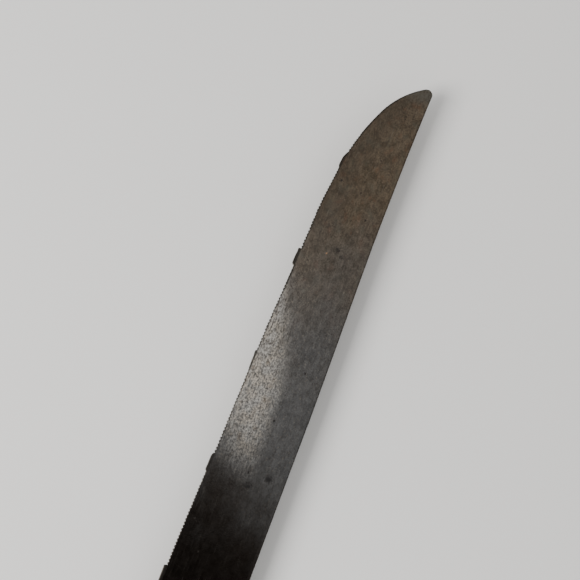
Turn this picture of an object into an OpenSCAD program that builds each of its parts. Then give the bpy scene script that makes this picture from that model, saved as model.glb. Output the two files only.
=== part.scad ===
// Bread knife lying on its right side: carbon-steel blade with a full tang, two hardwood
// scales and three two-piece rivets. +X points to the tip, +Y to the cutting edge, +Z up.

/* [Blade] */
// Length of the blade, from the front of the handle to the tip
blade_len = 254; // [230:1:300]
// Width of the blade at the heel, without the last land
heel_w = 29.4; // [27:0.1:33]
// Width of the blade where the tip curve meets the first land
shoulder_w = 21; // [20:0.1:23]
// Outward bow of the long edge between the shoulder and the heel
belly_bow = 2.1; // [0:0.1:3]
// Thickness of the blade at the spine, and of the tang
spine_t = 1.65; // [1.2:0.05:2.5]
// Thickness left by the face grind at the long edge, above the edge bevel
edge_t = 0.85; // [0.6:0.05:1.1]
// Distance from the spine at which the face grind starts
grind_start = 13; // [8:0.5:18]
// How much thinner each face of the blade gets from the handle to the tip
distal_taper = 0.15; // [0:0.01:0.2]

/* [Tip] */
// Radius of the blunt nose
nose_r = 2.3; // [1.5:0.1:3]
// Radius of the tip curve behind the nose
tip_r = 33; // [28:1:40]
// Radius of the flatter curve that leads to the first land
shoulder_r = 102; // [90:1:120]
// How far the spine rises outward at the tip
tip_lift = 1.3; // [0:0.1:1.8]
// Length over which the spine rises
lift_len = 60; // [40:1:80]

/* [Toothed edge] */
// Distance from the start of one land to the start of the next
section_pitch = 40; // [30:1:42]
// Number of plain lands along the edge, counting the one that runs into the plain heel
land_count = 6; // [2:1:6]
// Length of one plain land
land_len = 7; // [4:0.5:10]
// Distance from tooth to tooth
tooth_pitch = 1.22; // [1:0.02:2]
// Depth of the deepest teeth
tooth_depth = 0.48; // [0.2:0.02:0.7]
// Depth of the shallowest teeth, just behind a land, as a share of the deepest
worn_share = 0.7; // [0.3:0.05:1]
// Length of the short toothed stretch in front of the first land
tip_teeth_len = 8; // [4:0.5:12]

/* [Handle] */
// Length of the handle
handle_len = 124; // [110:1:140]
// Thickness of one scale
scale_t = 9.2; // [7:0.1:11]
// Radius of the rounded outer edge of a scale
scale_edge_r = 4.4; // [2:0.1:5]
// How far the tang stands proud of the shrunken wood, all round
tang_proud = 0.15; // [0:0.05:0.4]

/* [Rivets] */
// Diameter of a rivet head
head_d = 8; // [6:0.1:10]
// Thickness of a rivet head
head_t = 1.6; // [1:0.1:2.5]
// Outside diameter of the socket half's tube
tube_d = 4.4; // [3.8:0.1:5]
// Diameter of the pin half's shank, pressed into the tube
pin_d = 2.8; // [2:0.1:3.2]
// Radial room around a tube in the wood and in the tang
hole_gap = 0.1; // [0.05:0.05:0.3]
// How far a head lies below the face of its scale
head_sunk = 0.05; // [0:0.05:0.3]

/* [Hidden] */

steel_color = "#4f4a43";
wood_color = "#6f4526";
brass_color = "#a98a4e";

total_t = 2 * scale_t + spine_t;
mid_z = total_t / 2;
past = 1;                       // how far cutters reach past what they cut
beside = 5;                     // how far the face cutters reach beside the blade
smooth = 64;                    // sides of a round hole or head

// Each rivet's place, as a distance behind the front of the handle and across from the spine line.
rivet_spots = [[20, 13], [61, 11.6], [102, 13.6]];

// The lands from the tip to the heel. Each is how far it stands out beyond the teeth next to
// it, how long its worn slopes are at its tip end and at its heel end, and how far it was
// ground off its even place, towards the heel.
lands = [
    [0.35, 3.6, 0.8, 0],
    [0.8, 0.3, 0.8, 0],
    [0.3, 0.3, 4.8, 0],
    [0.42, 1.6, 0.5, -1.3],
    [0.75, 0.4, 0.6, 0],
    [0.6, 0.5, 0.3, 0],
];

// The bevels along the cutting edge. Each is where it meets the very edge, measured across the
// blade's thickness from its middle, and its steepness. The right face has the wide one.
left_bevel = [0.3, 0.5];
right_bevel = [0.1, 0.24];

// The heel: how far the blade's corner stands in front of the handle, and its radius.
heel_front = 2.5;
heel_r = 3;

// Places along the blade are distances from the tip, called d. Places across it are
// distances from the straight part of the spine, towards the edge.
shoulder_angle = 13.6;          // slope of the tip curve at the first land
tip_join_angle = 24.4;          // slope where the two tip arcs meet
function dir(a) = [-sin(a), cos(a)];

shoulder_c = [0, shoulder_w] - shoulder_r * dir(shoulder_angle);
tip_c = shoulder_c + (shoulder_r - tip_r) * dir(tip_join_angle);
nose_angle = acos((nose_r - tip_lift - tip_c[1]) / (tip_r - nose_r));
nose_c = tip_c + (tip_r - nose_r) * dir(nose_angle);
tip_run = nose_r - nose_c[0];   // distance from the nose to the first land

function land_start(i) = tip_run + i * section_pitch + lands[i][3];
belly_len = blade_len - tip_run;

// The bow of the long edge as sharpening has left it: share of the way to the heel, share of
// belly_bow. It is hollow where the edge has been worn most.
wear_line = [
    [0, 0],
    [0.03, 0.07],
    [0.06, 0.35],
    [0.09, 0.6],
    [0.12, 0.73],
    [0.17, 0.73],
    [0.23, 0.76],
    [0.29, 0.98],
    [0.4, 0.97],
    [0.5, 0.88],
    [0.6, 0.97],
    [0.65, 0.98],
    [0.71, 0.91],
    [0.8, 0.7],
    [1, 0],
];
hump_drop = 0.6;                // step under the first land, from the tip curve to the long edge
belly_start = shoulder_w + hump_drop;

// Distance across from the spine line to the line through the tooth points.
function belly_y(d) =
    let (u = (d - tip_run) / belly_len)
    belly_start + (heel_w - belly_start) * u + belly_bow * lookup(u, wear_line);
function tip_y(d) =
    let (x = d - tip_run, far = x < (shoulder_c + shoulder_r * dir(tip_join_angle))[0])
    far ? tip_c[1] + sqrt(pow(tip_r, 2) - pow(x - tip_c[0], 2))
        : shoulder_c[1] + sqrt(pow(shoulder_r, 2) - pow(x - shoulder_c[0], 2));
function edge_y(d) = d < tip_run ? tip_y(d) : belly_y(d);
function spine_y(d) = d < lift_len ? -tip_lift * pow(1 - d / lift_len, 2) : 0;

// One toothed stretch: rounded bumps between sharp valleys, worn shallow at its tip end.
bump_steps = 4;
function teeth(from, to) =
    let (count = round((to - from) / tooth_pitch), step = (to - from) / count)
    [
        for (i = [0 : count - 1], k = [0 : bump_steps - 1])
            let (d = from + (i + k / bump_steps) * step,
                 depth = tooth_depth * (worn_share + (1 - worn_share) * i / count))
            [d, edge_y(d) - depth * (1 - sin(180 * k / bump_steps))]
    ];

// One plain land, standing out beyond the teeth.
function land(i) =
    let (from = land_start(i), to = from + land_len, rise = lands[i][0],
         top = from + lands[i][1], end = to - lands[i][2])
    [
        [from, i == 0 ? shoulder_w : belly_y(from)],
        [top, belly_y(top) + rise],
        [end, belly_y(end) + rise],
        [to, belly_y(to)],
    ];

nose_points = [for (a = [180 : -20 : nose_angle]) nose_c + [tip_run, 0] + nose_r * dir(a)];
tip_steps = 14;
tip_curve = [
    for (i = [0 : tip_steps])
        let (from = nose_c[0] + tip_run - nose_r * sin(nose_angle),
             u = i / tip_steps,
             d = from + (tip_run - tip_teeth_len - from) * u * u)
        [d, edge_y(d)]
];
long_edge = [
    each teeth(tip_run - tip_teeth_len, tip_run),
    for (i = [0 : land_count - 1]) each [
        each land(i),
        each i < land_count - 1 ? teeth(land_start(i) + land_len, land_start(i + 1)) : [],
    ],
];
heel_d = blade_len - heel_front;
heel_curve = [
    for (a = [0 : 15 : 90])
        [heel_d - heel_r * (1 - sin(a)), belly_y(heel_d) - heel_r * (1 - cos(a))]
];
spine_curve = [for (d = [lift_len : -lift_len / 6 : nose_r]) [d, spine_y(d)]];
function along_x(points) = [for (p = points) [blade_len - p[0], p[1]]];

// The handle's outline: Bezier stretches from the spine side of its front, round the butt
// with its small beak, to the edge side of its front. X is negative behind the front.
handle_path = [
    [[0, 0], [-25, -1.6], [-80, -2.4], [-108, 0.4]],
    [[-108, 0.4], [-118, 1.4], [-124, 5.5], [-124, 13]],
    [[-124, 13], [-124, 22], [-122.5, 29.6], [-113, 30.2]],
    [[-113, 30.2], [-104, 30.7], [-96, 25.6], [-78, 24.4]],
    [[-78, 24.4], [-55, 23], [-30, 25.4], [0, 26.2]],
];
path_len = 124;
function bezier(b, u) =
    pow(1 - u, 3) * b[0] + 3 * u * pow(1 - u, 2) * b[1] + 3 * u * u * (1 - u) * b[2]
    + pow(u, 3) * b[3];
handle_steps = 12;
handle_outline = [
    for (b = handle_path, i = [0 : handle_steps - 1])
        let (p = bezier(b, i / handle_steps))
        [p[0] * handle_len / path_len, p[1]],
    handle_path[4][3],
];

// The outline of the blade and its tang, from the nose along the edge, round the butt and back
// along the spine.
last_point = len(handle_outline) - 1;
blade_outline = [
    each along_x(nose_points),
    each along_x(tip_curve),
    each along_x(long_edge),
    each along_x(heel_curve),
    [heel_front, handle_outline[last_point][1]],
    for (i = [last_point : -1 : 0]) handle_outline[i],
    each along_x(spine_curve),
];

// The outline moved inward by gap, with mitred corners.
function left_of(v) = [-v[1], v[0]] / norm(v);
function inset(outline, gap) =
    let (n = len(outline))
    [
        for (i = [0 : n - 1])
            let (b = outline[i],
                 before = left_of(outline[(i + n - 1) % n] - b),
                 after = left_of(b - outline[(i + 1) % n]))
            b + gap * (before + after) / (1 + before * after)
    ];

// The whole knife's extent, which puts the origin at the middle of its box on the surface.
all_y = [for (p = blade_outline) p[1]];
middle = [(blade_len - handle_len) / 2, (min(all_y) + max(all_y)) / 2];

module place() {
    translate([-middle[0], -middle[1], 0])
        children();
}

module at_rivet(i) {
    translate([-rivet_spots[i][0], rivet_spots[i][1], 0])
        children();
}

// Everything above the blade's grind on one face, from the heel to past the tip.
module face_grind() {
    run = heel_w + beside - grind_start;
    drop = (spine_t - edge_t) / 2 * run / (heel_w - grind_start);
    translate([heel_front + heel_r, grind_start, spine_t / 2])
        rotate([90, 0, 90])
            linear_extrude(blade_len)
                polygon([[0, 0], [run, past], [run, -drop]]);
}

// The slow thinning of one face towards the tip.
module taper_cut() {
    start = blade_len / 4;          // measured from the handle
    run = blade_len - start + past;
    translate([start, heel_w + beside, spine_t / 2])
        rotate([90, 0, 0])
            linear_extrude(heel_w + 2 * beside)
                polygon([[0, 0], [run, past], [run, -distal_taper]]);
}

// The lines that the bevel along the cutting edge follows, as pairs of [d, y]: short ones round
// the tip, then one for each land, further out than its neighbours, and for each toothed stretch.
function stretch(from, to, rise) = [[from, belly_y(from) + rise], [to, belly_y(to) + rise]];
tip_stops = [for (d = [0.3, 1.4, 3.2, 6, 9.5, 14, 19, 25.5]) [d, tip_y(d)]];
last_stop = len(tip_stops) - 1;
first_top = tip_run + lands[0][1];
tip_lines = [
    for (i = [0 : last_stop - 1]) [tip_stops[i], tip_stops[i + 1]],
    [tip_stops[last_stop], [tip_run, shoulder_w]],
];
long_lines = [
    [[tip_run, shoulder_w], [first_top, belly_y(first_top) + lands[0][0]]],
    stretch(first_top, tip_run + land_len, lands[0][0]),
    for (i = [1 : land_count - 1]) each [
        stretch(land_start(i - 1) + land_len, land_start(i), 0),
        stretch(land_start(i), land_start(i) + land_len, lands[i][0]),
    ],
    stretch(land_start(land_count - 1) + land_len, heel_d - heel_r, 0),
];

// The bevel along the cutting edge of one face, as one flat for each of those lines. Each runs
// past the ends of its line by lap, so that neighbours leave nothing between them.
long_lap = 0.1;
module edge_bevel(bevel) {
    bevel_flats(tip_lines, bevel, past);
    bevel_flats(long_lines, bevel, long_lap);
}

module bevel_flats(lines, bevel, lap) {
    slope = bevel[1];
    for (line = lines)
        let (a = [blade_len - line[1][0], line[1][1]],
             b = [blade_len - line[0][0], line[0][1]],
             along = b - a)
        translate([a[0], a[1], bevel[0]])
            rotate([0, 0, atan2(along[1], along[0])])
                rotate([90, 0, 90])
                    translate([0, 0, -lap])
                        linear_extrude(norm(along) + 2 * lap)
                            polygon([
                                [2 * past, -2 * past * slope],
                                [2 * past, spine_t],
                                [-spine_t / slope, spine_t],
                            ]);
}

module rivet_holes(length) {
    for (i = [0 : len(rivet_spots) - 1])
        at_rivet(i)
            translate([0, 0, -past])
                cylinder(h = length + 2 * past, d = tube_d + 2 * hole_gap, $fn = smooth);
}

module blade() {
    color(steel_color)
        place()
            translate([0, 0, mid_z])
                difference() {
                    translate([0, 0, -spine_t / 2])
                        linear_extrude(spine_t)
                            polygon(blade_outline);
                    face_grind();
                    mirror([0, 0, 1])
                        face_grind();
                    taper_cut();
                    mirror([0, 0, 1])
                        taper_cut();
                    edge_bevel(left_bevel);
                    mirror([0, 0, 1])
                        edge_bevel([-right_bevel[0], right_bevel[1]]);
                    translate([0, 0, -spine_t / 2])
                        rivet_holes(spine_t);
                }
}

// The rounded form that a scale is cut from. It runs past the planes of both its faces.
round_steps = 6;
form_over = 0.1;
module scale_form() {
    rings = [
        [tang_proud, -past],
        for (i = [0 : round_steps])
            let (a = 90 * i / round_steps)
            [
                tang_proud + scale_edge_r * (1 - cos(a)),
                scale_t + form_over - scale_edge_r * (1 - sin(a)),
            ],
    ];
    n = len(handle_outline);
    top = len(rings) - 1;
    points = [for (r = rings, p = inset(handle_outline, r[0])) [p[0], p[1], r[1]]];
    walls = [
        for (k = [0 : top - 1], i = [0 : n - 1])
            let (a = k * n + i, b = k * n + (i + 1) % n)
            each [[a, b, a + n], [b, b + n, a + n]]
    ];
    inner_face = [for (i = [n - 1 : -1 : 0]) i];
    outer_face = [for (i = [0 : n - 1]) top * n + i];
    polyhedron(points, concat([inner_face], walls, [outer_face]), convexity = 4);
}

// A flat board as thick as a scale, and larger all round.
module board() {
    translate([-handle_len - past, min(all_y) - past, 0])
        cube([handle_len + 2 * past, max(all_y) - min(all_y) + 2 * past, scale_t]);
}

// One scale, lying with its flat inner face on the plane z = 0 and its rounded edge up.
module scale() {
    color(wood_color)
        difference() {
            intersection() {
                board();
                scale_form();
            }
            rivet_holes(scale_t);
            for (i = [0 : len(rivet_spots) - 1])
                at_rivet(i)
                    translate([0, 0, scale_t - head_t - head_sunk])
                        cylinder(h = head_t + past, d = head_d, $fn = smooth);
        }
}

module left_scale() {
    place()
        translate([0, 0, scale_t + spine_t])
            scale();
}

module right_scale() {
    place()
        translate([0, 0, scale_t])
            mirror([0, 0, 1])
                scale();
}

// A rivet is a tube with a head, and a headed pin pressed into it from the other face.
rim = 0.25;                     // chamfer round a head
tube_room = 1.5;                // gap left between the tube's end and the other head
tube_floor = 3;                 // solid part of the tube below its bore
tube_len = total_t - 2 * head_sunk - 2 * head_t - tube_room;
bore_depth = tube_len - tube_floor;
pin_tip_room = 0.5;             // gap left under the pin in the bore
pin_len = bore_depth + tube_room - pin_tip_room;

module rivet_socket(i) {
    tube_top = head_t + tube_len;
    color(brass_color)
        place()
            at_rivet(i)
                translate([0, 0, head_sunk])
                    rotate_extrude($fn = smooth)
                        polygon([
                            [0, 0],
                            [head_d / 2 - rim, 0],
                            [head_d / 2, rim],
                            [head_d / 2, head_t],
                            [tube_d / 2, head_t],
                            [tube_d / 2, tube_top],
                            [pin_d / 2, tube_top],
                            [pin_d / 2, tube_top - bore_depth],
                            [0, tube_top - bore_depth],
                        ]);
}

module rivet_pin(i) {
    color(brass_color)
        place()
            at_rivet(i)
                translate([0, 0, total_t - head_sunk])
                    mirror([0, 0, 1])
                        rotate_extrude($fn = smooth)
                            polygon([
                                [0, 0],
                                [head_d / 2 - rim, 0],
                                [head_d / 2, rim],
                                [head_d / 2, head_t],
                                [pin_d / 2, head_t],
                                [pin_d / 2, head_t + pin_len],
                                [0, head_t + pin_len],
                            ]);
}

blade();
left_scale();
right_scale();
rivet_socket(0);  // front_rivet_socket
rivet_pin(0);  // front_rivet_pin
rivet_socket(1);  // middle_rivet_socket
rivet_pin(1);  // middle_rivet_pin
rivet_socket(2);  // rear_rivet_socket
rivet_pin(2);  // rear_rivet_pin
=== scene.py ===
"""Finished surfaces for the bread knife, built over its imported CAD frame.

The knife lies on its right face: +X points to the tip, +Y to the cutting edge, +Z up. Shapes are
worked out in millimetres and written to the meshes in metres.
"""

import math

import bpy
import numpy as np
from mathutils import Matrix, Vector


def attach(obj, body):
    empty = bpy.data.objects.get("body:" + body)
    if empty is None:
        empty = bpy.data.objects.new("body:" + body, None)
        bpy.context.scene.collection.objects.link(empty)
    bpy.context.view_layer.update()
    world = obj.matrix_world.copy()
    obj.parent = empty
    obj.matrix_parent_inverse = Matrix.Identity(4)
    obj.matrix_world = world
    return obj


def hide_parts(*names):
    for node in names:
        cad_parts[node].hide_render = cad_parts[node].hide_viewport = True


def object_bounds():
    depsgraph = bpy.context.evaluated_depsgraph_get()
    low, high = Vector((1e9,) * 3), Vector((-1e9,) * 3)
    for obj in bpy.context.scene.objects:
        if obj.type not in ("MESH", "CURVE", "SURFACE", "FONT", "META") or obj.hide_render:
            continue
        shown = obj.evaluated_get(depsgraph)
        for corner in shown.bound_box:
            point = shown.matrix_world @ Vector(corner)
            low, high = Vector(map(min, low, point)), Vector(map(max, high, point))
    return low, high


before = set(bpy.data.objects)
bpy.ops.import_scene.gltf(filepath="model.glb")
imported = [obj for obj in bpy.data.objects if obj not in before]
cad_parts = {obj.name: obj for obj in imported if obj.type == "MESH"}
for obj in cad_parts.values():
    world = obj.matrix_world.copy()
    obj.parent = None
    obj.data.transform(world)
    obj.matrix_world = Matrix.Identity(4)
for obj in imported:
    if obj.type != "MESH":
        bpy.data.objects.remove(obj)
cad_low, cad_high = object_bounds()

MM = 0.001
SEED = 11

# ---------------------------------------------------------------- sizes, as in the CAD model (mm)
BLADE_LEN = 254.0
HEEL_W = 29.4
SHOULDER_W = 21.0
BELLY_BOW = 2.1
SPINE_T = 1.65
EDGE_T = 0.85
GRIND_START = 13.0
DISTAL_TAPER = 0.15
NOSE_R = 2.3
TIP_R = 33.0
SHOULDER_R = 102.0
TIP_LIFT = 1.3
LIFT_LEN = 60.0
SECTION_PITCH = 40.0
LAND_LEN = 7.0
TOOTH_PITCH = 1.22
TOOTH_DEPTH = 0.48
WORN_SHARE = 0.7
TIP_TEETH_LEN = 8.0
HANDLE_LEN = 124.0
SCALE_T = 9.2
SCALE_EDGE_R = 4.4
TANG_PROUD = 0.15
HEAD_D = 8.0
HEAD_T = 1.6
TUBE_D = 4.4
PIN_D = 2.8
HEAD_SUNK = 0.05
TUBE_ROOM = 1.5         # gap left between a tube's end and the other head
TUBE_FLOOR = 3.0        # solid part of a tube below its bore
PIN_EXTRA = 0.9         # how much longer a pin's shank is than the bore
HEEL_FRONT = 2.5
HEEL_R = 3.0
RIVET_SPOTS = [(20.0, 13.0), (61.0, 11.6), (102.0, 13.6)]
RIVET_NAMES = ["front", "middle", "rear"]
# how far each land stands out, how long its worn slopes are at the tip end and heel end, and
# how far it was ground off its even place, towards the heel
LANDS = [
    (0.35, 3.6, 0.8, 0.0),
    (0.8, 0.3, 0.8, 0.0),
    (0.3, 0.3, 4.8, 0.0),
    (0.42, 1.6, 0.5, -1.3),
    (0.75, 0.4, 0.6, 0.0),
    (0.6, 0.5, 0.3, 0.0),
]
LEFT_BEVEL = (0.3, 0.5)
RIGHT_BEVEL = (0.1, 0.24)
# the bow of the long edge as sharpening has left it: share of the way to the heel, share of bow
WEAR_LINE = np.array([
    (0, 0), (0.03, 0.07), (0.06, 0.35), (0.09, 0.6), (0.12, 0.73), (0.17, 0.73), (0.23, 0.76),
    (0.29, 0.98), (0.4, 0.97), (0.5, 0.88), (0.6, 0.97), (0.65, 0.98), (0.71, 0.91), (0.8, 0.7),
    (1, 0),
])
HUMP_DROP = 0.6
BELLY_START = SHOULDER_W + HUMP_DROP
TOTAL_T = 2 * SCALE_T + SPINE_T
MID_Z = TOTAL_T / 2
ORIGIN_X = (BLADE_LEN - HANDLE_LEN) / 2
ORIGIN_Y = 14.382

SHOULDER_ANGLE = math.radians(13.6)
TIP_JOIN_ANGLE = math.radians(24.4)


def direction(a):
    return np.array([-math.sin(a), math.cos(a)])


shoulder_c = np.array([0.0, SHOULDER_W]) - SHOULDER_R * direction(SHOULDER_ANGLE)
tip_c = shoulder_c + (SHOULDER_R - TIP_R) * direction(TIP_JOIN_ANGLE)
nose_angle = math.acos((NOSE_R - TIP_LIFT - tip_c[1]) / (TIP_R - NOSE_R))
nose_c = tip_c + (TIP_R - NOSE_R) * direction(nose_angle)
TIP_RUN = NOSE_R - nose_c[0]
join_x = (shoulder_c + SHOULDER_R * direction(TIP_JOIN_ANGLE))[0]


def land_start(i):
    return TIP_RUN + i * SECTION_PITCH + LANDS[i][3]


def belly_y(d):
    u = (d - TIP_RUN) / (BLADE_LEN - TIP_RUN)
    bow = BELLY_BOW * np.interp(u, WEAR_LINE[:, 0], WEAR_LINE[:, 1])
    return BELLY_START + (HEEL_W - BELLY_START) * u + bow


def tip_y(d):
    x = d - TIP_RUN
    tip = tip_c[1] + np.sqrt(np.maximum(TIP_R**2 - (x - tip_c[0]) ** 2, 0))
    flat = shoulder_c[1] + np.sqrt(np.maximum(SHOULDER_R**2 - (x - shoulder_c[0]) ** 2, 0))
    return np.where(x < join_x, tip, flat)


def nose_y(d, side):
    reach = np.sqrt(np.maximum(NOSE_R**2 - (NOSE_R - d) ** 2, 0))
    return nose_c[1] + side * reach


# The spine of an old blade isn't quite straight: (distance from the tip, offset).
SPINE_WAVE = np.array([
    (0, 0), (39, 0.02), (51, 0.1), (62, 0.2), (77, 0.14), (105, -0.09),
    (128, -0.2), (155, 0.0), (186, 0.14), (220, 0.05), (245, 0.0), (400, 0.0),
])


def spine_y(d):
    lift = np.where(d < LIFT_LEN, -TIP_LIFT * (1 - d / LIFT_LEN) ** 2, 0)
    line = lift + np.interp(d, SPINE_WAVE[:, 0], SPINE_WAVE[:, 1])
    return np.where(d < NOSE_R, np.maximum(nose_y(d, -1), line), line)


def smooth_edge_y(d):
    """The line through the tooth points, without the lands."""
    line = np.where(d < TIP_RUN, tip_y(d), belly_y(d))
    nose_end = NOSE_R * (1 - math.sin(nose_angle))
    line = np.where(d < nose_end, nose_y(d, 1), line)
    hump = smoothstep(TIP_RUN + LANDS[0][1] - d, 0, LANDS[0][1]) * (belly_y(d) - SHOULDER_W)
    line = np.where(d >= TIP_RUN, line - hump, line)
    heel = BLADE_LEN - HEEL_FRONT
    into = np.clip(d - (heel - HEEL_R), 0, HEEL_R)
    return line - (HEEL_R - np.sqrt(np.maximum(HEEL_R**2 - into**2, 0)))


def toothed_runs():
    """Each toothed stretch as (from, to, number of teeth)."""
    ends = [(TIP_RUN - TIP_TEETH_LEN, TIP_RUN)]
    for i in range(len(LANDS) - 1):
        ends.append((land_start(i) + LAND_LEN, land_start(i + 1)))
    return [(a, b, round((b - a) / TOOTH_PITCH)) for a, b in ends]


def land_rise(d):
    """How far the lands stand out beyond the tooth points."""
    rise = np.zeros_like(d)
    for i, (height, tip_slope, heel_slope, _) in enumerate(LANDS):
        a = land_start(i)
        up = (d - a) / tip_slope
        down = (a + LAND_LEN - d) / heel_slope
        rise = np.maximum(rise, height * np.clip(np.minimum(up, down), 0, 1))
    return rise


def smoothstep(x, a, b):
    t = np.clip((x - a) / (b - a), 0, 1)
    return t * t * (3 - 2 * t)


def make_mesh(name, verts, faces, attributes=()):
    """A mesh object from millimetre corners in the row frame."""
    mesh = bpy.data.meshes.new(name)
    mesh.from_pydata((np.asarray(verts) * MM).tolist(), [], faces)
    for key, values in attributes:
        layer = mesh.attributes.new(key, "FLOAT", "POINT")
        layer.data.foreach_set("value", np.asarray(values, np.float32))
    mesh.validate()
    mesh.update()
    made = bpy.data.objects.new(name, mesh)
    bpy.context.scene.collection.objects.link(made)
    return made


def shade(obj, angle):
    for face in obj.data.polygons:
        face.use_smooth = True
    obj.data.set_sharp_from_angle(angle=math.radians(angle))


def tube_faces(rings, size):
    """Quads between successive closed rings of the same size, and a cap on each end."""
    faces = []
    for r in range(rings - 1):
        a, b = r * size, (r + 1) * size
        for i in range(size):
            j = (i + 1) % size
            faces.append((a + i, a + j, b + j, b + i))
    faces.append(tuple(range(size - 1, -1, -1)))
    last = (rings - 1) * size
    faces.append(tuple(last + i for i in range(size)))
    return faces


# ---------------------------------------------------------------- blade and tang
# the handle's outline in Bezier stretches, from the spine side round the butt to the edge side
HANDLE_PATH = [
    [(0, 0), (-25, -1.6), (-80, -2.4), (-108, 0.4)],
    [(-108, 0.4), (-118, 1.4), (-124, 5.5), (-124, 13)],
    [(-124, 13), (-124, 22), (-122.5, 29.6), (-113, 30.2)],
    [(-113, 30.2), (-104, 30.7), (-96, 25.6), (-78, 24.4)],
    [(-78, 24.4), (-55, 23), (-30, 25.4), (0, 26.2)],
]


def bezier(points, u):
    p = np.array(points, float)
    u = u[:, None]
    return (
        (1 - u) ** 3 * p[0]
        + 3 * u * (1 - u) ** 2 * p[1]
        + 3 * u**2 * (1 - u) * p[2]
        + u**3 * p[3]
    )


steps = np.linspace(0, 1, 161)
low_side = np.vstack([bezier(HANDLE_PATH[0], steps), bezier(HANDLE_PATH[1], steps)])[::-1]
high_side = np.vstack([bezier(b, steps) for b in HANDLE_PATH[2:]])


def handle_low(x):
    return np.interp(x, low_side[:, 0], low_side[:, 1])


def handle_high(x):
    return np.interp(x, high_side[:, 0], high_side[:, 1])


NICKS = 46
WAVES = 14
WAVE_HEIGHT = 0.012
SMOOTHED_RUN = 2        # the toothed stretch whose first teeth are worn away, from the tip's


def edge_wobble(d, rng):
    """Small nicks and hollows along the cutting edge, in mm inward."""
    wobble = np.zeros_like(d)
    for _ in range(NICKS):
        at = rng.uniform(26, 246)
        width = rng.uniform(0.25, 0.9)
        wobble += rng.uniform(0.03, 0.12) * np.exp(-(((d - at) / width) ** 2))
    for _ in range(WAVES):
        wave = rng.uniform(6, 30)
        wobble += WAVE_HEIGHT * np.sin(2 * math.pi * (d / wave + rng.uniform(0, 1)))
    return wobble


def cutting_edge_y(d, rng):
    """The real edge: teeth, lands and damage."""
    edge = smooth_edge_y(d)
    for number, (a, b, count) in enumerate(toothed_runs()):
        inside = (d >= a) & (d <= b)
        place = np.clip((d - a) / (b - a) * count, 0, count - 1e-6)
        tooth = np.floor(place).astype(int)
        sizes = rng.uniform(0.85, 1.22, count)
        depth = TOOTH_DEPTH * (WORN_SHARE + (1 - WORN_SHARE) * tooth / count) * sizes[tooth]
        if number == SMOOTHED_RUN:
            worn = 0.3 + 0.7 * smoothstep(place / count, 0.1, 0.32)
            depth = depth * worn
        dip = 1 - np.sin(math.pi * (place - tooth))
        edge = np.where(inside, edge - depth * dip, edge)
    worn_tips = np.where(d < TIP_RUN - TIP_TEETH_LEN, 0, edge_wobble(d, rng))
    heel_fade = 1 - smoothstep(d, BLADE_LEN - 10, BLADE_LEN - 6)
    return edge + land_rise(d) - worn_tips * heel_fade


TOOTH_STATIONS = 8


def blade_stations():
    """Distances from the tip at which the blade's sections are cut."""
    nose = NOSE_R * (1 - np.cos(np.linspace(0.16, math.pi / 2, 14)))
    tip = np.arange(NOSE_R + 0.3, TIP_RUN - TIP_TEETH_LEN, 0.45)
    stops = [nose, tip]
    for a, b, count in toothed_runs():
        stops.append(np.linspace(a, b, count * TOOTH_STATIONS + 1))
    for i, (_, tip_slope, heel_slope, _) in enumerate(LANDS):
        a = land_start(i)
        stops.append(np.linspace(a, a + tip_slope, 5))
        stops.append(np.linspace(a + tip_slope, a + LAND_LEN - heel_slope, 12))
        stops.append(np.linspace(a + LAND_LEN - heel_slope, a + LAND_LEN, 5))
    heel = BLADE_LEN - HEEL_FRONT
    stops.append(np.arange(land_start(len(LANDS) - 1) + LAND_LEN, heel - HEEL_R, 0.6))
    stops.append(heel - HEEL_R * (1 - np.sin(np.linspace(0, math.pi / 2, 12))))
    return np.unique(np.round(np.concatenate(stops), 4))


# distance from the cutting edge of each column of corners on a face, then shares of the rest
EDGE_COLUMNS = np.array([0.0, 0.14, 0.3, 0.5, 0.75, 1.05, 1.4, 1.9, 2.6, 3.6, 5.0])
FACE_SHARES = np.array([0.16, 0.32, 0.47, 0.61, 0.74, 0.86, 0.95])
CORNER_R = 0.28
CORNER_STEPS = 4
TOOTH_REACH = 2.2       # how far inward the teeth shift the corners of the mesh
GROOVE_LEN = 2.4        # length and depth of the slanting grooves on the right face
GROOVE_DEPTH = 0.24
THINNEST = 0.06         # half of the least thickness, at the very edge


def face_half(across, from_line, d, bevel, side):
    """Distance of one face from the blade's middle plane. side is 1 for the left face and -1 for
    the right one, since both bevels meet the edge on the left of that plane."""
    taper = DISTAL_TAPER * np.clip((BLADE_LEN * 0.75 - d) / (BLADE_LEN * 0.75), 0, 1)
    grind = (SPINE_T - EDGE_T) / 2 * np.clip((across - GRIND_START) / (HEEL_W - GRIND_START), 0, 1.3)
    ease = smoothstep(d, BLADE_LEN - 9, BLADE_LEN - 4)
    face = SPINE_T / 2 - grind * (1 - ease) - taper
    cut = bevel[0] * side + bevel[1] * from_line + ease * 3
    return np.minimum(face, cut) - 0.015 * np.exp(-np.abs(face - cut) / 0.05)


def section_ring(y, left, right, corner):
    """A closed section: from the edge down the left face, round the spine and up the right."""
    ring = [(y[0], (left[0] - right[0]) / 2)]
    ring += list(zip(y, left))
    bends = [math.pi / 2 * s / CORNER_STEPS for s in range(1, CORNER_STEPS + 1)]
    for a in bends:
        ring.append((y[-1] - corner * math.sin(a), left[-1] - corner * (1 - math.cos(a))))
    for a in reversed(bends):
        ring.append((y[-1] - corner * math.sin(a), -right[-1] + corner * (1 - math.cos(a))))
    ring += [(y[i], -right[i]) for i in range(len(y) - 1, -1, -1)]
    return np.array(ring)


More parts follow.
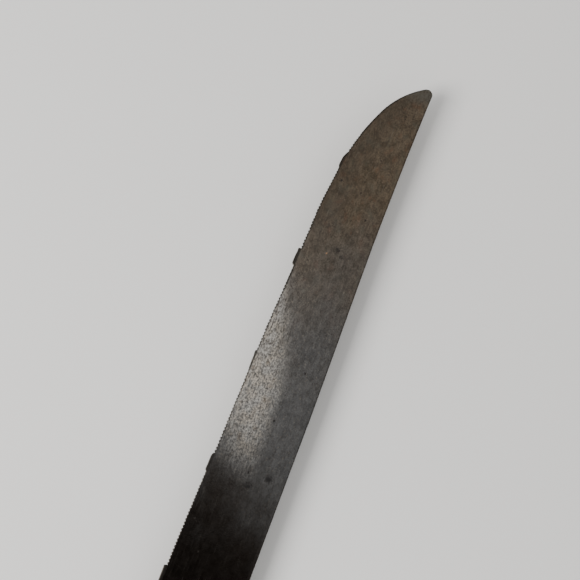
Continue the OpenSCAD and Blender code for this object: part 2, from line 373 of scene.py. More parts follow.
def blade_rings():
    rng = np.random.default_rng(SEED)
    d = blade_stations()
    spine = spine_y(d)
    line = smooth_edge_y(d) + land_rise(d)
    lands = np.clip(land_rise(d) / 0.5, 0, 1)
    edge = cutting_edge_y(d, rng)
    width = np.maximum(line - spine, 0.02)
    squeeze = np.clip(width / 14.0, 0.02, 1)
    runs = toothed_runs()
    rows = []
    facts = []
    for k in range(len(d)):
        near = EDGE_COLUMNS * squeeze[k]
        corner = min(CORNER_R, width[k] * 0.2)
        inner_end = width[k] - near[-1] - corner
        offsets = np.concatenate([near, near[-1] + inner_end * FACE_SHARES, [near[-1] + inner_end]])
        tooth_share = np.clip(1 - offsets / (TOOTH_REACH * squeeze[k]), 0, 1)
        y = line[k] - offsets + (edge[k] - line[k]) * tooth_share
        from_line = line[k] - y
        across = y - spine[k]
        left = face_half(across, from_line, d[k], LEFT_BEVEL, 1)
        right = face_half(across, from_line, d[k], RIGHT_BEVEL, -1)
        swing = 1 if int((d[k] - TIP_RUN) // SECTION_PITCH) % 2 else -1
        here = [run for run in runs if run[0] <= d[k] <= run[1]]
        if here:
            a, b, count = here[0]
            phase = (d[k] - a + swing * 0.45 * from_line) / (b - a) * count
            groove = (0.5 + 0.5 * np.cos(2 * math.pi * phase)) ** 1.5
            fade = np.clip(1 - from_line / GROOVE_LEN, 0, 1)
            right = right - GROOVE_DEPTH * groove * fade * squeeze[k]
        middle = (left - right) / 2
        left = np.maximum(left, middle + THINNEST)
        right = np.maximum(right, -middle + THINNEST)
        ring = section_ring(y, left, right, corner)
        x = max(BLADE_LEN - d[k], 0)
        rows.append(np.column_stack([np.full(len(ring), x), ring]))
        on_land = np.full(len(ring), lands[k])
        facts.append(np.column_stack([line[k] - ring[:, 0], ring[:, 0] - spine[k], on_land]))
    return rows, facts


TANG_INSET = 0.06       # how far the tang's sides lie inside the CAD tang's
TANG_CORNER = 0.25
BUTT_LEN = 14           # stretch at the butt with closer sections
LAST_X = -123.93        # furthest place back where the outline still has a width


def tang_rings(size, half):
    """Sections of the neck and the tang, with the same number of corners as the blade's."""
    columns = (size - 1 - 2 * CORNER_STEPS) // 2
    xs = np.concatenate([
        np.linspace(HEEL_FRONT - 0.02, 0, 4),
        np.linspace(-1.0, BUTT_LEN - HANDLE_LEN, 96),
        -HANDLE_LEN + BUTT_LEN * (1 - np.sin(np.linspace(0.04, math.pi / 2 - 0.02, 34))),
    ])
    rows = []
    facts = []
    for x in xs:
        inner = max(min(x, 0), LAST_X)
        low = handle_low(inner) + (TANG_INSET if x < 0 else 0)
        high = handle_high(inner) - (TANG_INSET if x < 0 else 0.05)
        corner = min(TANG_CORNER, (high - low) * 0.2)
        u = np.linspace(0, 1, columns - 2)
        y = high - 0.3 * corner - (high - low - 1.3 * corner) * u
        y = np.concatenate([[high, high - 0.08 * corner], y])
        z = np.full(len(y), half)
        z[0] -= corner * 0.9
        z[1] -= corner * 0.3
        ring = section_ring(y, z, z, corner)
        rows.append(np.column_stack([np.full(len(ring), x), ring]))
        facts.append(np.column_stack([high - ring[:, 0], ring[:, 0] - low, ring[:, 0] * 0]))
    return rows, facts


def build_blade():
    rows, facts = blade_rings()
    more, more_facts = tang_rings(len(rows[0]), SPINE_T / 2)
    rows += more
    facts += more_facts
    verts = np.vstack(rows)
    fact = np.vstack(facts)
    verts[:, 0] = np.clip(verts[:, 0] - ORIGIN_X, cad_low.x / MM, cad_high.x / MM)
    verts[:, 1] -= ORIGIN_Y
    verts[:, 2] += MID_Z
    faces = tube_faces(len(rows), len(rows[0]))
    made = make_mesh(
        "blade_and_tang", verts, faces,
        [("from_edge", fact[:, 0]), ("from_spine", fact[:, 1]), ("on_land", fact[:, 2])],
    )
    shade(made, 32)
    return made


# ---------------------------------------------------------------- scales
WOOD_SUNK = 0.1         # how far the wood's outer face lies below the CAD scale's
SIDE_COLUMNS = 44       # corners across a scale
FRONT_FAN = 5           # stretches at a scale's front and butt with closer sections
BUTT_FAN = 15.9
THUMB_X, THUMB_REACH, THUMB_WEAR = -52, 26, 0.12
FRONT_X, FRONT_REACH, FRONT_WEAR = -6, 5, 0.1
RIVET_KEEP = 6.5        # distance from a rivet within which the wood hasn't worn down
THINNEST_WOOD = 0.4


def outline_distance(points):
    """Distance of each point from the scale's own outline, its front edge included."""
    path = np.vstack([low_side[::-1], high_side, low_side[-1:]])
    a, b = path[:-1], path[1:]
    keep = np.linalg.norm(b - a, axis=1) > 1e-9
    a, b = a[keep], b[keep]
    best = np.full(len(points), 1e9)
    for start in range(0, len(points), 2000):
        p = points[start:start + 2000][:, None, :]
        along = b - a
        t = np.clip(((p - a) * along).sum(2) / (along**2).sum(1), 0, 1)
        gap = np.linalg.norm(p - (a + t[..., None] * along), axis=2)
        best[start:start + 2000] = gap.min(1)
    return best


def build_scale(name, top):
    """One handle scale. top is 1 for the left (upper) scale and -1 for the right one."""
    front = -TANG_PROUD
    xs = np.concatenate([
        front - FRONT_FAN * (1 - np.cos(np.linspace(0, math.pi / 2, 14))),
        np.linspace(-5.8, -108, 92),
        -HANDLE_LEN + TANG_PROUD
        + BUTT_FAN * (1 - np.sin(np.linspace(0.0, math.pi / 2 - 0.015, 40))),
    ])
    thick = SCALE_T - WOOD_SUNK
    turn = np.linspace(0, math.pi, SIDE_COLUMNS)
    share = 0.5 - 0.5 * np.cos(turn)
    plan = []
    for x in xs:
        low = handle_low(x) + TANG_PROUD
        high = handle_high(x) - TANG_PROUD
        plan.append(np.column_stack([np.full(SIDE_COLUMNS, x), low + (high - low) * share]))
    flat = np.vstack(plan)
    deep = np.clip(outline_distance(flat) - TANG_PROUD, 0, None)
    radius = SCALE_EDGE_R
    inside = np.clip(radius - deep, 0, radius)
    height = thick - radius + np.sqrt(np.maximum(radius**2 - inside**2, 0))
    worn = THUMB_WEAR * np.exp(-(((flat[:, 0] - THUMB_X) / THUMB_REACH) ** 2)) * smoothstep(deep, 0.5, 7)
    worn += FRONT_WEAR * np.exp(-(((flat[:, 0] - FRONT_X) / FRONT_REACH) ** 2)) * smoothstep(deep, 0.5, 5)
    for rx, ry in RIVET_SPOTS:
        near = np.hypot(flat[:, 0] + rx, flat[:, 1] - ry)
        worn = worn * (1 - np.exp(-((near / RIVET_KEEP) ** 4)))
    height = np.maximum(height - worn, THINNEST_WOOD)
    rows = []
    rims = []
    for k in range(len(xs)):
        part = slice(k * SIDE_COLUMNS, (k + 1) * SIDE_COLUMNS)
        p, h, deep_here = flat[part], height[part], deep[part]
        ring = [(p[0, 0], p[0, 1], 0.0), (p[0, 0], p[0, 1], h[0] * 0.5)]
        rim = [0.0, 0.0]
        for q, z, r in zip(p, h, deep_here):
            ring.append((q[0], q[1], z))
            rim.append(r)
        ring.append((p[-1, 0], p[-1, 1], h[-1] * 0.5))
        ring.append((p[-1, 0], p[-1, 1], 0.0))
        rim += [0.0, 0.0]
        rows.append(np.array(ring))
        rims.append(rim)
    verts = np.vstack(rows)
    face_z = MID_Z + top * SPINE_T / 2
    verts[:, 0] -= ORIGIN_X
    verts[:, 1] -= ORIGIN_Y
    verts[:, 2] = face_z + top * verts[:, 2]
    faces = tube_faces(len(rows), len(rows[0]))
    if top > 0:
        faces = [f[::-1] for f in faces]
    made = make_mesh(name, verts, faces, [("rim", np.concatenate(rims))])
    bore_heads(made, face_z + top * (thick - HEAD_T), top)
    shade(made, 40)
    return made


def lathe(name, profile, centre, segments):
    """A turned shape: profile is (radius, z) from the axis at one end to the axis at the other."""
    verts = []
    faces = []
    rings = []
    for r, z in profile:
        if r < 1e-6:
            rings.append([len(verts)])
            verts.append((centre[0], centre[1], z))
            continue
        ring = []
        for i in range(segments):
            a = 2 * math.pi * i / segments
            ring.append(len(verts))
            verts.append((centre[0] + r * math.cos(a), centre[1] + r * math.sin(a), z))
        rings.append(ring)
    for low, high in zip(rings[:-1], rings[1:]):
        for i in range(segments):
            j = (i + 1) % segments
            a = (low[i], low[j]) if len(low) > 1 else (low[0],)
            b = (high[j], high[i]) if len(high) > 1 else (high[0],)
            faces.append(a + b)
    return make_mesh(name, verts, faces)


BORE_GAP = 0.07         # radial room round a head
ROUND_SIDES = 72


def bore_heads(scale_obj, floor_z, top):
    """Counterbores for the three rivet heads, a little wider than the heads."""
    for x, y in RIVET_SPOTS:
        centre = (-x - ORIGIN_X, y - ORIGIN_Y)
        ends = sorted([floor_z - top * 0.05, floor_z + top * 4])
        r = HEAD_D / 2 + BORE_GAP
        profile = [(0, ends[0]), (r, ends[0]), (r, ends[1]), (0, ends[1])]
        cutter = lathe("cutter", profile, centre, ROUND_SIDES)
        cut = scale_obj.modifiers.new("bore", "BOOLEAN")
        cut.operation = "DIFFERENCE"
        cut.solver = "EXACT"
        cut.object = cutter
        view = bpy.context.evaluated_depsgraph_get()
        done = bpy.data.meshes.new_from_object(scale_obj.evaluated_get(view))
        scale_obj.modifiers.clear()
        scale_obj.data = done
        bpy.data.objects.remove(cutter)


# ---------------------------------------------------------------- rivets
HEAD_CLEAR = 0.01       # how far a head's middle lies inside the CAD box
FIT_GAP = 0.02


def head_profile(outer_z, inward):
    """A worn, slightly domed head: (radius, z) from its middle to its underside."""
    dome = 0.1
    edge = HEAD_D / 2
    points = [(0.0, outer_z)]
    for r in (0.8, 1.6, 2.4, 3.0, 3.4):
        points.append((r, outer_z + inward * dome * (r / edge) ** 2))
    rounding = 0.34
    rim_z = outer_z + inward * dome * (3.66 / edge) ** 2
    for s in range(0, 7):
        a = math.pi / 2 * s / 6
        points.append((
            edge - rounding + rounding * math.sin(a),
            rim_z + inward * rounding * 0.75 * (1 - math.cos(a)),
        ))
    points.append((edge, outer_z + inward * HEAD_T))
    return points


def build_rivet(name, spot):
    centre = (-spot[0] - ORIGIN_X, spot[1] - ORIGIN_Y)
    tube_len = TOTAL_T - 2 * HEAD_SUNK - 2 * HEAD_T - TUBE_ROOM
    bore = tube_len - TUBE_FLOOR
    tube_top = HEAD_SUNK + HEAD_T + tube_len
    bore_r = PIN_D / 2 + FIT_GAP
    socket = head_profile(HEAD_CLEAR, 1)
    socket += [(TUBE_D / 2, HEAD_SUNK + HEAD_T), (TUBE_D / 2, tube_top)]
    socket += [(bore_r, tube_top), (bore_r, tube_top - bore), (0, tube_top - bore)]
    top = TOTAL_T - HEAD_CLEAR
    pin = head_profile(top, -1)
    pin_end = top - HEAD_SUNK - HEAD_T - bore - PIN_EXTRA
    pin += [(PIN_D / 2, top - HEAD_T), (PIN_D / 2, pin_end), (0, pin_end)]
    made = []
    for part, profile in (("socket", socket), ("pin", pin)):
        piece = lathe(f"{name}_rivet_{part}_turned", profile, centre, ROUND_SIDES)
        if part == "socket":
            piece.data.flip_normals()
        shade(piece, 28)
        made.append((piece, f"{name}_rivet_{part}"))
    return made


# ---------------------------------------------------------------- materials
class Paint:
    """Makes one material's nodes; every call returns an output socket."""

    def __init__(self, name):
        self.material = bpy.data.materials.new(name)
        self.material.use_nodes = True
        self.tree = self.material.node_tree
        self.tree.nodes.clear()
        self.out = self.tree.nodes.new("ShaderNodeOutputMaterial")
        self.surface = self.tree.nodes.new("ShaderNodeBsdfPrincipled")
        self.tree.links.new(self.surface.outputs[0], self.out.inputs["Surface"])
        coords = self.tree.nodes.new("ShaderNodeTexCoord")
        self.mm = self.vector("SCALE", coords.outputs["Object"], factor=1 / MM)

    def put(self, socket, value):
        if isinstance(value, bpy.types.NodeSocket):
            self.tree.links.new(value, socket)
        else:
            socket.default_value = value

    def vector(self, operation, a, b=None, factor=None):
        node = self.tree.nodes.new("ShaderNodeVectorMath")
        node.operation = operation
        self.put(node.inputs[0], a)
        if b is not None:
            self.put(node.inputs[1], b)
        if factor is not None:
            self.put(node.inputs["Scale"], factor)
        return node.outputs["Value" if operation in ("LENGTH", "DISTANCE", "DOT_PRODUCT") else "Vector"]

    def math(self, operation, a, b=0.0, c=0.0, clamp=False):
        node = self.tree.nodes.new("ShaderNodeMath")
        node.operation = operation
        node.use_clamp = clamp
        for socket, value in zip(node.inputs, (a, b, c)):
            self.put(socket, value)
        return node.outputs[0]

    def axis(self, vector, name):
        node = self.tree.nodes.new("ShaderNodeSeparateXYZ")
        self.put(node.inputs[0], vector)
        return node.outputs[name]

    def step(self, value, a, b, low=0.0, high=1.0):
        """Smooth change from low to high as value goes from a to b."""
        node = self.tree.nodes.new("ShaderNodeMapRange")
        node.interpolation_type = "SMOOTHSTEP"
        flip = a > b
        for key, v in (
            ("Value", value),
            ("From Min", b if flip else a),
            ("From Max", a if flip else b),
            ("To Min", high if flip else low),
            ("To Max", low if flip else high),
        ):
            self.put(node.inputs[key], v)
        return node.outputs["Result"]

    def stretch(self, scale, turn=0.0, shift=(0, 0, 0)):
        """Millimetre coordinates turned about Z, shifted and scaled."""
        node = self.tree.nodes.new("ShaderNodeMapping")
        node.vector_type = "POINT"
        self.put(node.inputs["Vector"], self.mm)
        node.inputs["Scale"].default_value = scale
        node.inputs["Rotation"].default_value = (0, 0, math.radians(turn))
        node.inputs["Location"].default_value = shift
        return node.outputs[0]

    def noise(self, vector, scale=1.0, detail=3.0, rough=0.55, warp=0.0):
        node = self.tree.nodes.new("ShaderNodeTexNoise")
        self.put(node.inputs["Vector"], vector)
        node.inputs["Scale"].default_value = scale
        node.inputs["Detail"].default_value = detail
        node.inputs["Roughness"].default_value = rough
        node.inputs["Distortion"].default_value = warp
        return node.outputs[0]

    def cells(self, vector, scale=1.0):
        node = self.tree.nodes.new("ShaderNodeTexVoronoi")
        self.put(node.inputs["Vector"], vector)
        node.inputs["Scale"].default_value = scale
        return node.outputs["Distance"], node.outputs["Color"]

    def attribute(self, name):
        node = self.tree.nodes.new("ShaderNodeAttribute")
        node.attribute_name = name
        return node.outputs["Fac"]

    def mix(self, share, a, b, mode="MIX"):
        node = self.tree.nodes.new("ShaderNodeMix")
        node.data_type = "RGBA"
        node.blend_type = mode
        self.put(node.inputs[0], share)
        for socket, value in ((node.inputs[6], a), (node.inputs[7], b)):
            if isinstance(value, (tuple, list)) and len(value) == 3:
                value = (*value, 1.0)
            self.put(socket, value)
        return node.outputs[2]

    def bump(self, height, distance, strength=1.0, normal=None):
        node = self.tree.nodes.new("ShaderNodeBump")
        self.put(node.inputs["Height"], height)
        node.inputs["Distance"].default_value = distance
        node.inputs["Strength"].default_value = strength
        if normal is not None:
            self.put(node.inputs["Normal"], normal)
        return node.outputs[0]

    def finish(self, **inputs):
        for key, value in inputs.items():
            self.put(self.surface.inputs[key.replace("_", " ")], value)
        return self.material


# dark marks on the blade's left face: (x, y, radius, strength)
BLADE_MARKS = [
    (35.1, -8.0, 1.5, 0.95),
    (30.5, -2.2, 1.2, 0.95),
    (120.1, -2.5, 1.15, 0.7),
    (118.1, -4.6, 0.9, 0.6),
    (157.0, -5.9, 0.6, 0.6),
    (143.0, -3.2, 0.6, 0.5),
    (128.4, 2.0, 0.5, 0.4),
]

RUST_SPOT = (117.7, 0.8)


def blade_steel():
    p = Paint("old_carbon_steel")
    x = p.axis(p.mm, "X")
    y = p.axis(p.mm, "Y")
    from_edge = p.attribute("from_edge")
    from_spine = p.attribute("from_spine")
    on_land = p.attribute("on_land")

    cloud = p.noise(p.stretch((0.045, 0.07, 0.07)), 1.0, 3.0, 0.5)
    mottle = p.noise(p.stretch((0.36, 0.5, 0.4)), 1.0, 5.0, 0.66, 0.4)
    grit = p.noise(p.stretch((2.4, 2.9, 2.4), turn=20), 1.0, 2.0, 0.6)
    fleck = p.noise(p.stretch((1.25, 1.6, 1.4), turn=-12), 1.0, 3.0, 0.7)
    tint = p.noise(p.stretch((0.2, 0.26, 0.2), shift=(40, 11, 0)), 1.0, 3.0, 0.6)
    streak = p.noise(p.stretch((0.3, 1.7, 1.2), turn=-3), 1.0, 4.0, 0.7, 0.3)
    hair = p.noise(p.stretch((0.09, 5.0, 3.0), turn=2.5), 1.0, 2.0, 0.5)
    cross_hair = p.noise(p.stretch((0.12, 4.4, 3.0), turn=34), 1.0, 2.0, 0.5)

    # three states of the surface along the blade; the heel end's near-black is heavier patina plus
    # painted shade
    along = p.math("ADD", x, p.math("MULTIPLY_ADD", cloud, 60.0, -30.0))
    tipness = p.step(along, 62, 150)
    heel_patina_and_shade = p.step(p.math("MULTIPLY_ADD", y, -0.1, along), 49, 4)

    body = p.math("MULTIPLY_ADD", grit, 0.45, p.math("MULTIPLY", mottle, 0.55))
    warm = p.mix(p.step(body, 0.38, 0.62), (0.071, 0.056, 0.040), (0.148, 0.116, 0.082))
    warm = p.mix(p.step(tint, 0.52, 0.7, 0.0, 0.45), warm, (0.100, 0.096, 0.074))
    warm = p.mix(p.step(tint, 0.45, 0.3, 0.0, 0.5), warm, (0.140, 0.082, 0.053))
    grey = p.mix(p.step(body, 0.34, 0.66), (0.062, 0.062, 0.062), (0.126, 0.126, 0.126))
    colour = p.mix(tipness, grey, warm)
    colour = p.mix(p.step(streak, 0.5, 0.36, 0.0, 0.32), colour, (0.045, 0.038, 0.032))
    colour = p.mix(p.step(fleck, 0.43, 0.32, 0.0, 0.65), colour, (0.038, 0.030, 0.023))
    colour = p.mix(p.step(fleck, 0.58, 0.7, 0.0, 0.42), colour, (0.24, 0.20, 0.155))
    # painted shade over heavier patina: the heel end is mixed towards near black
    colour = p.mix(p.math("MULTIPLY", heel_patina_and_shade, 0.85), colour, (0.020, 0.0135, 0.0095))

    # the edge half of the tip third is a little darker
    darker_tip_edge_half = p.math("MULTIPLY", p.step(from_edge, 11.0, 4.0), p.step(along, 112, 130))
    colour = p.mix(p.math("MULTIPLY", darker_tip_edge_half, 0.3), colour, (0.055, 0.046, 0.037))

    # the rubbed, scratched zone on the edge half of the middle; its light bare steel is real wear and
    # also painted highlight, laid where the sheen falls
    reach = p.math("MULTIPLY_ADD", mottle, 7.0, -3.5)
    slope = p.math("MULTIPLY", p.math("MAXIMUM", p.math("SUBTRACT", x, 66.0), 0.0), -0.3)
    inner = p.math("ADD", p.math("ADD", y, reach), slope)
    rub_and_sheen = p.math("MULTIPLY", p.step(inner, -4.5, 4.0), p.step(along, 124, 92))
    heel_line = p.math("ADD", p.math("MULTIPLY_ADD", y, -0.58, x), p.math("MULTIPLY", reach, 1.6))
    rub_and_sheen = p.math("MULTIPLY", rub_and_sheen, p.step(heel_line, 27, 50))
    grain = p.math("ADD", p.math("MULTIPLY", streak, 0.3), p.math("MULTIPLY", fleck, 0.7))
    bare_and_sheen = p.math("MULTIPLY", rub_and_sheen, p.step(grain, 0.38, 0.62))
    polished_and_sheen = p.mix(p.step(tint, 0.4, 0.62), (0.365, 0.352, 0.328), (0.385, 0.350, 0.302))
    colour = p.mix(bare_and_sheen, colour, polished_and_sheen)
    patchy = p.math("ADD", p.math("MULTIPLY", mottle, 0.6), p.math("MULTIPLY", body, 0.4))
    brown_fleck = p.math("MULTIPLY", rub_and_sheen, p.step(patchy, 0.46, 0.34, 0.0, 0.6))
    colour = p.mix(brown_fleck, colour, (0.085, 0.062, 0.044))

    # the nose is scuffed grey, with dark freckles behind it
    scuff = p.math("MULTIPLY", p.step(x, 180.5, 186.5), p.step(grit, 0.36, 0.6, 0.2, 0.8))
    colour = p.mix(scuff, colour, (0.115, 0.112, 0.098))
    freckle = p.math("MULTIPLY", p.step(x, 166, 178), p.step(grit, 0.42, 0.33, 0.0, 0.55))
    colour = p.mix(freckle, colour, (0.030, 0.022, 0.016))

    # pale hairline scratches everywhere, and a few slanting ones
    scratch = p.step(hair, 0.66, 0.74)
    slant = p.step(cross_hair, 0.68, 0.76, 0.0, 0.7)
    lines = p.math("MAXIMUM", scratch, slant)
    colour = p.mix(p.math("MULTIPLY", lines, 0.2), colour, (0.30, 0.28, 0.25))

    # pits and stains
    pit_gap, pit_tint = p.cells(p.stretch((0.2, 0.23, 0.2)), 1.0)
    chosen = p.step(p.axis(pit_tint, "X"), 0.72, 0.8)
    marks = p.math("MULTIPLY", p.step(pit_gap, 0.13, 0.05, 0.0, 0.8), chosen)
    ragged = p.math("MULTIPLY_ADD", fleck, 1.4, -0.7)
    for mx, my, radius, strength in BLADE_MARKS:
        gap = p.vector("DISTANCE", p.mm, (mx, my, MID_Z + SPINE_T / 2))
        gap = p.math("ADD", gap, ragged)
        marks = p.math("MAXIMUM", marks, p.step(gap, radius * 1.3, radius * 0.3, 0.0, strength))
    colour = p.mix(marks, colour, (0.006, 0.005, 0.005))
    rust_gap = p.vector("DISTANCE", p.mm, (*RUST_SPOT, MID_Z + SPINE_T / 2))
    rust_gap = p.math("ADD", rust_gap, p.math("MULTIPLY", ragged, 0.8))
    colour = p.mix(p.step(rust_gap, 0.55, 0.1, 0.0, 0.8), colour, (0.36, 0.21, 0.12))

    # painted shade: dark rims along the cutting edge, on the lands and along the spine, where the bevel
    # and the rounded spine turn away from the light
    edge_noise = p.math("MULTIPLY_ADD", fleck, 0.5, -0.25)
    band_width = p.math("MULTIPLY_ADD", on_land, 0.55, 0.62)
    edge_gap = p.math("DIVIDE", p.math("ADD", from_edge, edge_noise), band_width)
    edge_shade_band = p.step(edge_gap, 1.25, 0.75)
    colour = p.mix(p.math("MULTIPLY", edge_shade_band, 0.78), colour, (0.022, 0.020, 0.018))
    spine_shade_band = p.step(p.math("ADD", from_spine, edge_noise), 0.55, 0.15)
    colour = p.mix(p.math("MULTIPLY", spine_shade_band, 0.6), colour, (0.03, 0.026, 0.021))

    rough = p.math("MULTIPLY_ADD", mottle, 0.14, 0.13)
    rough = p.math("ADD", rough, p.math("MULTIPLY", marks, 0.3))
    rough = p.math("ADD", rough, p.math("MULTIPLY", edge_shade_band, 0.15), clamp=True)
    metal = p.math("SUBTRACT", 0.97, p.math("MULTIPLY", marks, 0.4))

    normal = p.bump(cloud, 0.9 * MM, 0.05)
    normal = p.bump(mottle, 0.015 * MM, 0.8, normal)
    normal = p.bump(streak, 0.008 * MM, 1.0, normal)
    normal = p.bump(fleck, 0.006 * MM, 1.0, normal)
    normal = p.bump(lines, -0.005 * MM, 1.0, normal)
    normal = p.bump(marks, -0.05 * MM, 0.8, normal)
    return p.finish(Base_Color=colour, Metallic=metal, Roughness=rough, Normal=normal)


def scale_wood():
    p = Paint("dark_hardwood")
    rim = p.attribute("rim")
    y = p.axis(p.mm, "Y")
    bend = p.noise(p.stretch((0.012, 0.05, 0.05)), 1.0, 2.0, 0.5)
    grain_base = p.stretch((0.028, 0.85, 0.55), turn=1.2)
    bands = p.noise(grain_base, 1.0, 5.0, 0.6, 0.8)
    fine = p.noise(p.stretch((0.07, 3.6, 2.6), turn=1.2), 1.0, 3.0, 0.6)
    figure = p.noise(p.stretch((0.03, 0.13, 0.1)), 1.0, 2.0, 0.5, 0.6)
    colour = p.mix(p.step(bands, 0.3, 0.7), (0.036, 0.017, 0.010), (0.150, 0.072, 0.036))
    colour = p.mix(p.step(fine, 0.4, 0.65, 0.0, 0.45), colour, (0.190, 0.100, 0.052))
    colour = p.mix(p.step(figure, 0.35, 0.7, 0.0, 0.5), colour, (0.085, 0.036, 0.019))
    pores = p.noise(p.stretch((0.22, 5.5, 4.0), turn=1.2), 1.0, 2.0, 0.5)
    pore = p.step(pores, 0.62, 0.7)
    colour = p.mix(p.math("MULTIPLY", pore, 0.75), colour, (0.014, 0.008, 0.005))
    handled = p.noise(p.stretch((0.06, 0.09, 0.09)), 1.0, 4.0, 0.6)
    worn = p.math("MULTIPLY", p.step(rim, 4.2, 1.2), p.step(handled, 0.42, 0.66))
    colour = p.mix(p.math("MULTIPLY", worn, 0.4), colour, (0.25, 0.135, 0.07))
    grime = p.step(rim, 0.9, 0.05, 0.0, 0.6)
    for rx, ry in RIVET_SPOTS:
        flat = p.vector("MULTIPLY", p.mm, (1, 1, 0))
        gap = p.vector("DISTANCE", flat, (-rx - ORIGIN_X, ry - ORIGIN_Y, 0))
        gap = p.math("ADD", gap, p.math("MULTIPLY_ADD", handled, 1.6, -0.8))
        grime = p.math("MAXIMUM", grime, p.step(gap, 6.0, 4.1, 0.0, 0.75))
    colour = p.mix(grime, colour, (0.020, 0.012, 0.008))
    dent_gap, dent_tint = p.cells(p.stretch((0.11, 0.15, 0.15)), 1.0)
    dents = p.math("MULTIPLY", p.step(dent_gap, 0.12, 0.03), p.step(p.axis(dent_tint, "Y"), 0.6, 0.7))
    rough = p.math("MULTIPLY_ADD", bands, -0.15, 0.50)
    rough = p.math("ADD", rough, p.math("MULTIPLY", pore, 0.25))
    rough = p.math("SUBTRACT", rough, p.math("MULTIPLY", worn, 0.08), clamp=True)
    normal = p.bump(bands, 0.05 * MM, 0.6)
    normal = p.bump(fine, 0.02 * MM, 0.6, normal)
    normal = p.bump(pore, -0.06 * MM, 0.9, normal)
    normal = p.bump(dents, -0.12 * MM, 0.8, normal)
    normal = p.bump(bend, 0.6 * MM, 0.2, normal)
    return p.finish(Base_Color=colour, Roughness=rough, Normal=normal, Specular_IOR_Level=0.42)


def rivet_brass():
    p = Paint("tarnished_brass")
    tarnish = p.noise(p.stretch((0.5, 0.5, 0.5)), 1.0, 4.0, 0.65, 0.4)
    speck = p.noise(p.stretch((2.2, 2.2, 2.2)), 1.0, 3.0, 0.6)
    colour = p.mix(p.step(tarnish, 0.35, 0.7), (0.56, 0.40, 0.17), (0.30, 0.19, 0.085))
    colour = p.mix(p.step(speck, 0.56, 0.7, 0.0, 0.6), colour, (0.12, 0.075, 0.04))
    edge = None
    flat = p.vector("MULTIPLY", p.mm, (1, 1, 0))
    for rx, ry in RIVET_SPOTS:
        gap = p.vector("DISTANCE", flat, (-rx - ORIGIN_X, ry - ORIGIN_Y, 0))
        edge = gap if edge is None else p.math("MINIMUM", edge, gap)
    colour = p.mix(p.step(edge, 3.3, 4.0, 0.0, 0.7), colour, (0.10, 0.06, 0.03))
    one_way = p.noise(p.stretch((0.35, 7.0, 3.0), turn=24), 1.0, 2.0, 0.5)
    other_way = p.noise(p.stretch((0.35, 6.0, 3.0), turn=-62), 1.0, 2.0, 0.5)
    lines = p.math("MAXIMUM", p.step(one_way, 0.6, 0.68), p.step(other_way, 0.64, 0.7, 0.0, 0.8))
    colour = p.mix(p.math("MULTIPLY", lines, 0.3), colour, (0.70, 0.53, 0.27))
    rough = p.math("MULTIPLY_ADD", tarnish, 0.3, 0.16)
    rough = p.math("ADD", rough, p.math("MULTIPLY", lines, -0.05), clamp=True)
    normal = p.bump(lines, -0.008 * MM, 1.0)
    normal = p.bump(tarnish, 0.03 * MM, 0.5, normal)
    normal = p.bump(speck, 0.01 * MM, 0.6, normal)
    return p.finish(Base_Color=colour, Metallic=1.0, Roughness=rough, Normal=normal)


def pale_floor():
    p = Paint("pale_floor")
    cloud = p.noise(p.stretch((0.004, 0.004, 0.004)), 1.0, 2.0, 0.5)
    colour = p.mix(cloud, (0.80, 0.80, 0.795), (0.85, 0.848, 0.84))
    return p.finish(Base_Color=colour, Roughness=0.85, Specular_IOR_Level=0.2)


# ---------------------------------------------------------------- pieces
steel, wood, brass = blade_steel(), scale_wood(), rivet_brass()


def keep(piece, material, slot_name, node):
    piece.data.materials.clear()
    piece.data.materials.append(material)
    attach(piece, "root")
    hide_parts(node)


keep(build_blade(), steel, "blade_steel", "blade")
keep(build_scale("left_scale_wood", 1), wood, "scale_wood", "left_scale")
keep(build_scale("right_scale_wood", -1), wood, "scale_wood", "right_scale")
for rivet_name, rivet_spot in zip(RIVET_NAMES, RIVET_SPOTS):
    for turned, cad_node in build_rivet(rivet_name, rivet_spot):
        keep(turned, brass, "rivet_brass", cad_node)

# ---------------------------------------------------------------- floor, light and camera
FLOOR_R = 14000
FLOOR_SIDES = 96
turns = [2 * math.pi * i / FLOOR_SIDES for i in range(FLOOR_SIDES)]
floor = make_mesh(
    "floor",
    [(FLOOR_R * math.cos(a), FLOOR_R * math.sin(a), 0) for a in turns],
    [tuple(range(FLOOR_SIDES))],
)
floor.data.materials.append(pale_floor())


WORLD_LEVEL = 0.78      # strength of the light all round
WORLD_DIM = 0.02        # strength left in the dim patch
WORLD_GLOW = 0.9        # strength that the bright patch adds
SKEW = 0.37             # slant of both patches' sides
WORLD_COLOUR = (1.0, 0.985, 0.965, 1)


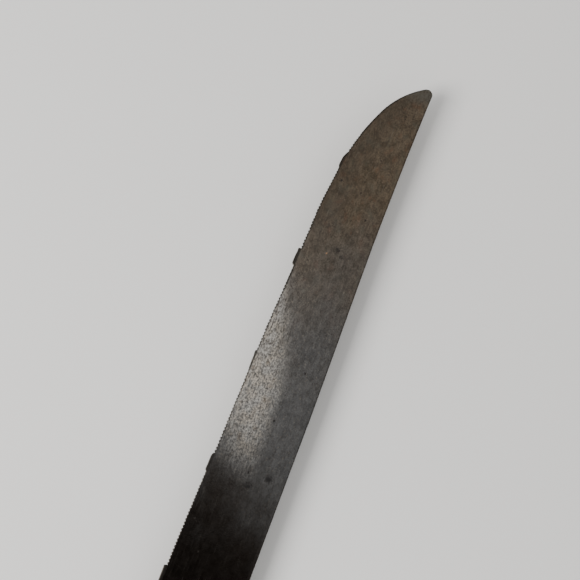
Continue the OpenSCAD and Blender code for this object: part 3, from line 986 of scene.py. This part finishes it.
def studio_world():
    """Even pale light all round. Overhead it has a brighter soft patch, and beside that a dim one
    on the handle's side."""
    world = bpy.data.worlds.new("studio")
    bpy.context.scene.world = world
    world.use_nodes = True
    tree = world.node_tree
    tree.nodes.clear()
    out = tree.nodes.new("ShaderNodeOutputWorld")
    background = tree.nodes.new("ShaderNodeBackground")
    coords = tree.nodes.new("ShaderNodeTexCoord")
    split = tree.nodes.new("ShaderNodeSeparateXYZ")
    tree.links.new(coords.outputs["Generated"], split.inputs[0])

    def calc(operation, a, b):
        node = tree.nodes.new("ShaderNodeMath")
        node.operation = operation
        for socket, value in zip(node.inputs, (a, b)):
            if isinstance(value, bpy.types.NodeSocket):
                tree.links.new(value, socket)
            else:
                socket.default_value = value
        return node.outputs[0]

    def step(value, a, b, low, high):
        node = tree.nodes.new("ShaderNodeMapRange")
        node.interpolation_type = "SMOOTHSTEP"
        tree.links.new(value, node.inputs["Value"])
        for key, v in (("From Min", a), ("From Max", b), ("To Min", low), ("To Max", high)):
            node.inputs[key].default_value = v
        return node.outputs["Result"]

    up = calc("MAXIMUM", split.outputs["Z"], 0.02)
    lean = calc("DIVIDE", split.outputs["X"], up)
    side = calc("DIVIDE", split.outputs["Y"], up)
    near = step(calc("ABSOLUTE", side, 0.0), 0.35, 0.7, 1.0, 0.0)
    handle_end = calc("SUBTRACT", lean, calc("MULTIPLY", side, SKEW))
    dim = calc("MULTIPLY", step(handle_end, -0.2, -0.085, 1.0, 0.0), step(lean, -0.9, -0.6, 0.0, 1.0))
    dim = calc("MULTIPLY", dim, near)
    level = calc("SUBTRACT", WORLD_LEVEL, calc("MULTIPLY", dim, WORLD_LEVEL - WORLD_DIM))
    glow_side = calc("SUBTRACT", side, calc("MULTIPLY", lean, SKEW))
    glow = calc("MULTIPLY", step(glow_side, -0.05, -0.005, 0.0, 1.0), step(side, 0.1, 0.2, 1.0, 0.0))
    glow = calc("MULTIPLY", glow, step(handle_end, -0.12, -0.075, 0.0, 1.0))
    glow = calc("MULTIPLY", glow, step(lean, 0.12, 0.22, 1.0, 0.0))
    level = calc("ADD", level, calc("MULTIPLY", glow, WORLD_GLOW))
    background.inputs["Color"].default_value = WORLD_COLOUR
    tree.links.new(level, background.inputs["Strength"])
    tree.links.new(background.outputs[0], out.inputs["Surface"])


def soft_light(name, centre, aim, size, power, colour):
    """A rectangular soft light, placed in mm, that the camera doesn't see."""
    data = bpy.data.lights.new(name, "AREA")
    data.shape = "RECTANGLE"
    data.size, data.size_y = size[0] * MM, size[1] * MM
    data.energy = power
    data.color = colour
    lamp = bpy.data.objects.new(name, data)
    bpy.context.scene.collection.objects.link(lamp)
    place, target = Vector(centre) * MM, Vector(aim) * MM
    back = (place - target).normalized()
    side = (Vector((1, 0, 0)) - back * back.x).normalized()
    up = back.cross(side)
    lamp.matrix_world = Matrix.Translation(place) @ Matrix((side, up, back)).transposed().to_4x4()
    lamp.visible_camera = False
    return lamp


studio_world()
soft_light("side_softbox", (-350, 600, 700), (40, 0, 0), (500, 500), 11.0, (1.0, 0.98, 0.95))

# the camera: millimetres, and degrees from straight down, round Z and about its own axis
AIM = (100.5, 8.4, 10.0)
DISTANCE = 289.8
LENS = 50.0
SENSOR = 36
TILT = 6.63
TILT_TOWARDS = 158.9
ROLL = 20.69

tilt, towards, roll = (math.radians(v) for v in (TILT, TILT_TOWARDS, ROLL))
back = Vector((
    math.sin(tilt) * math.cos(towards),
    math.sin(tilt) * math.sin(towards),
    math.cos(tilt),
))
up = Vector((math.cos(roll), math.sin(roll), 0))
up = (up - back * up.dot(back)).normalized()
right = up.cross(back)
camera_data = bpy.data.cameras.new("camera")
camera_data.lens = LENS
camera_data.sensor_width = SENSOR
camera_data.clip_start = 0.01
camera_data.clip_end = 50
camera = bpy.data.objects.new("camera", camera_data)
bpy.context.scene.collection.objects.link(camera)
camera.matrix_world = (
    Matrix.Translation((Vector(AIM) + back * DISTANCE) * MM)
    @ Matrix((right, up, back)).transposed().to_4x4()
)
bpy.context.scene.camera = camera
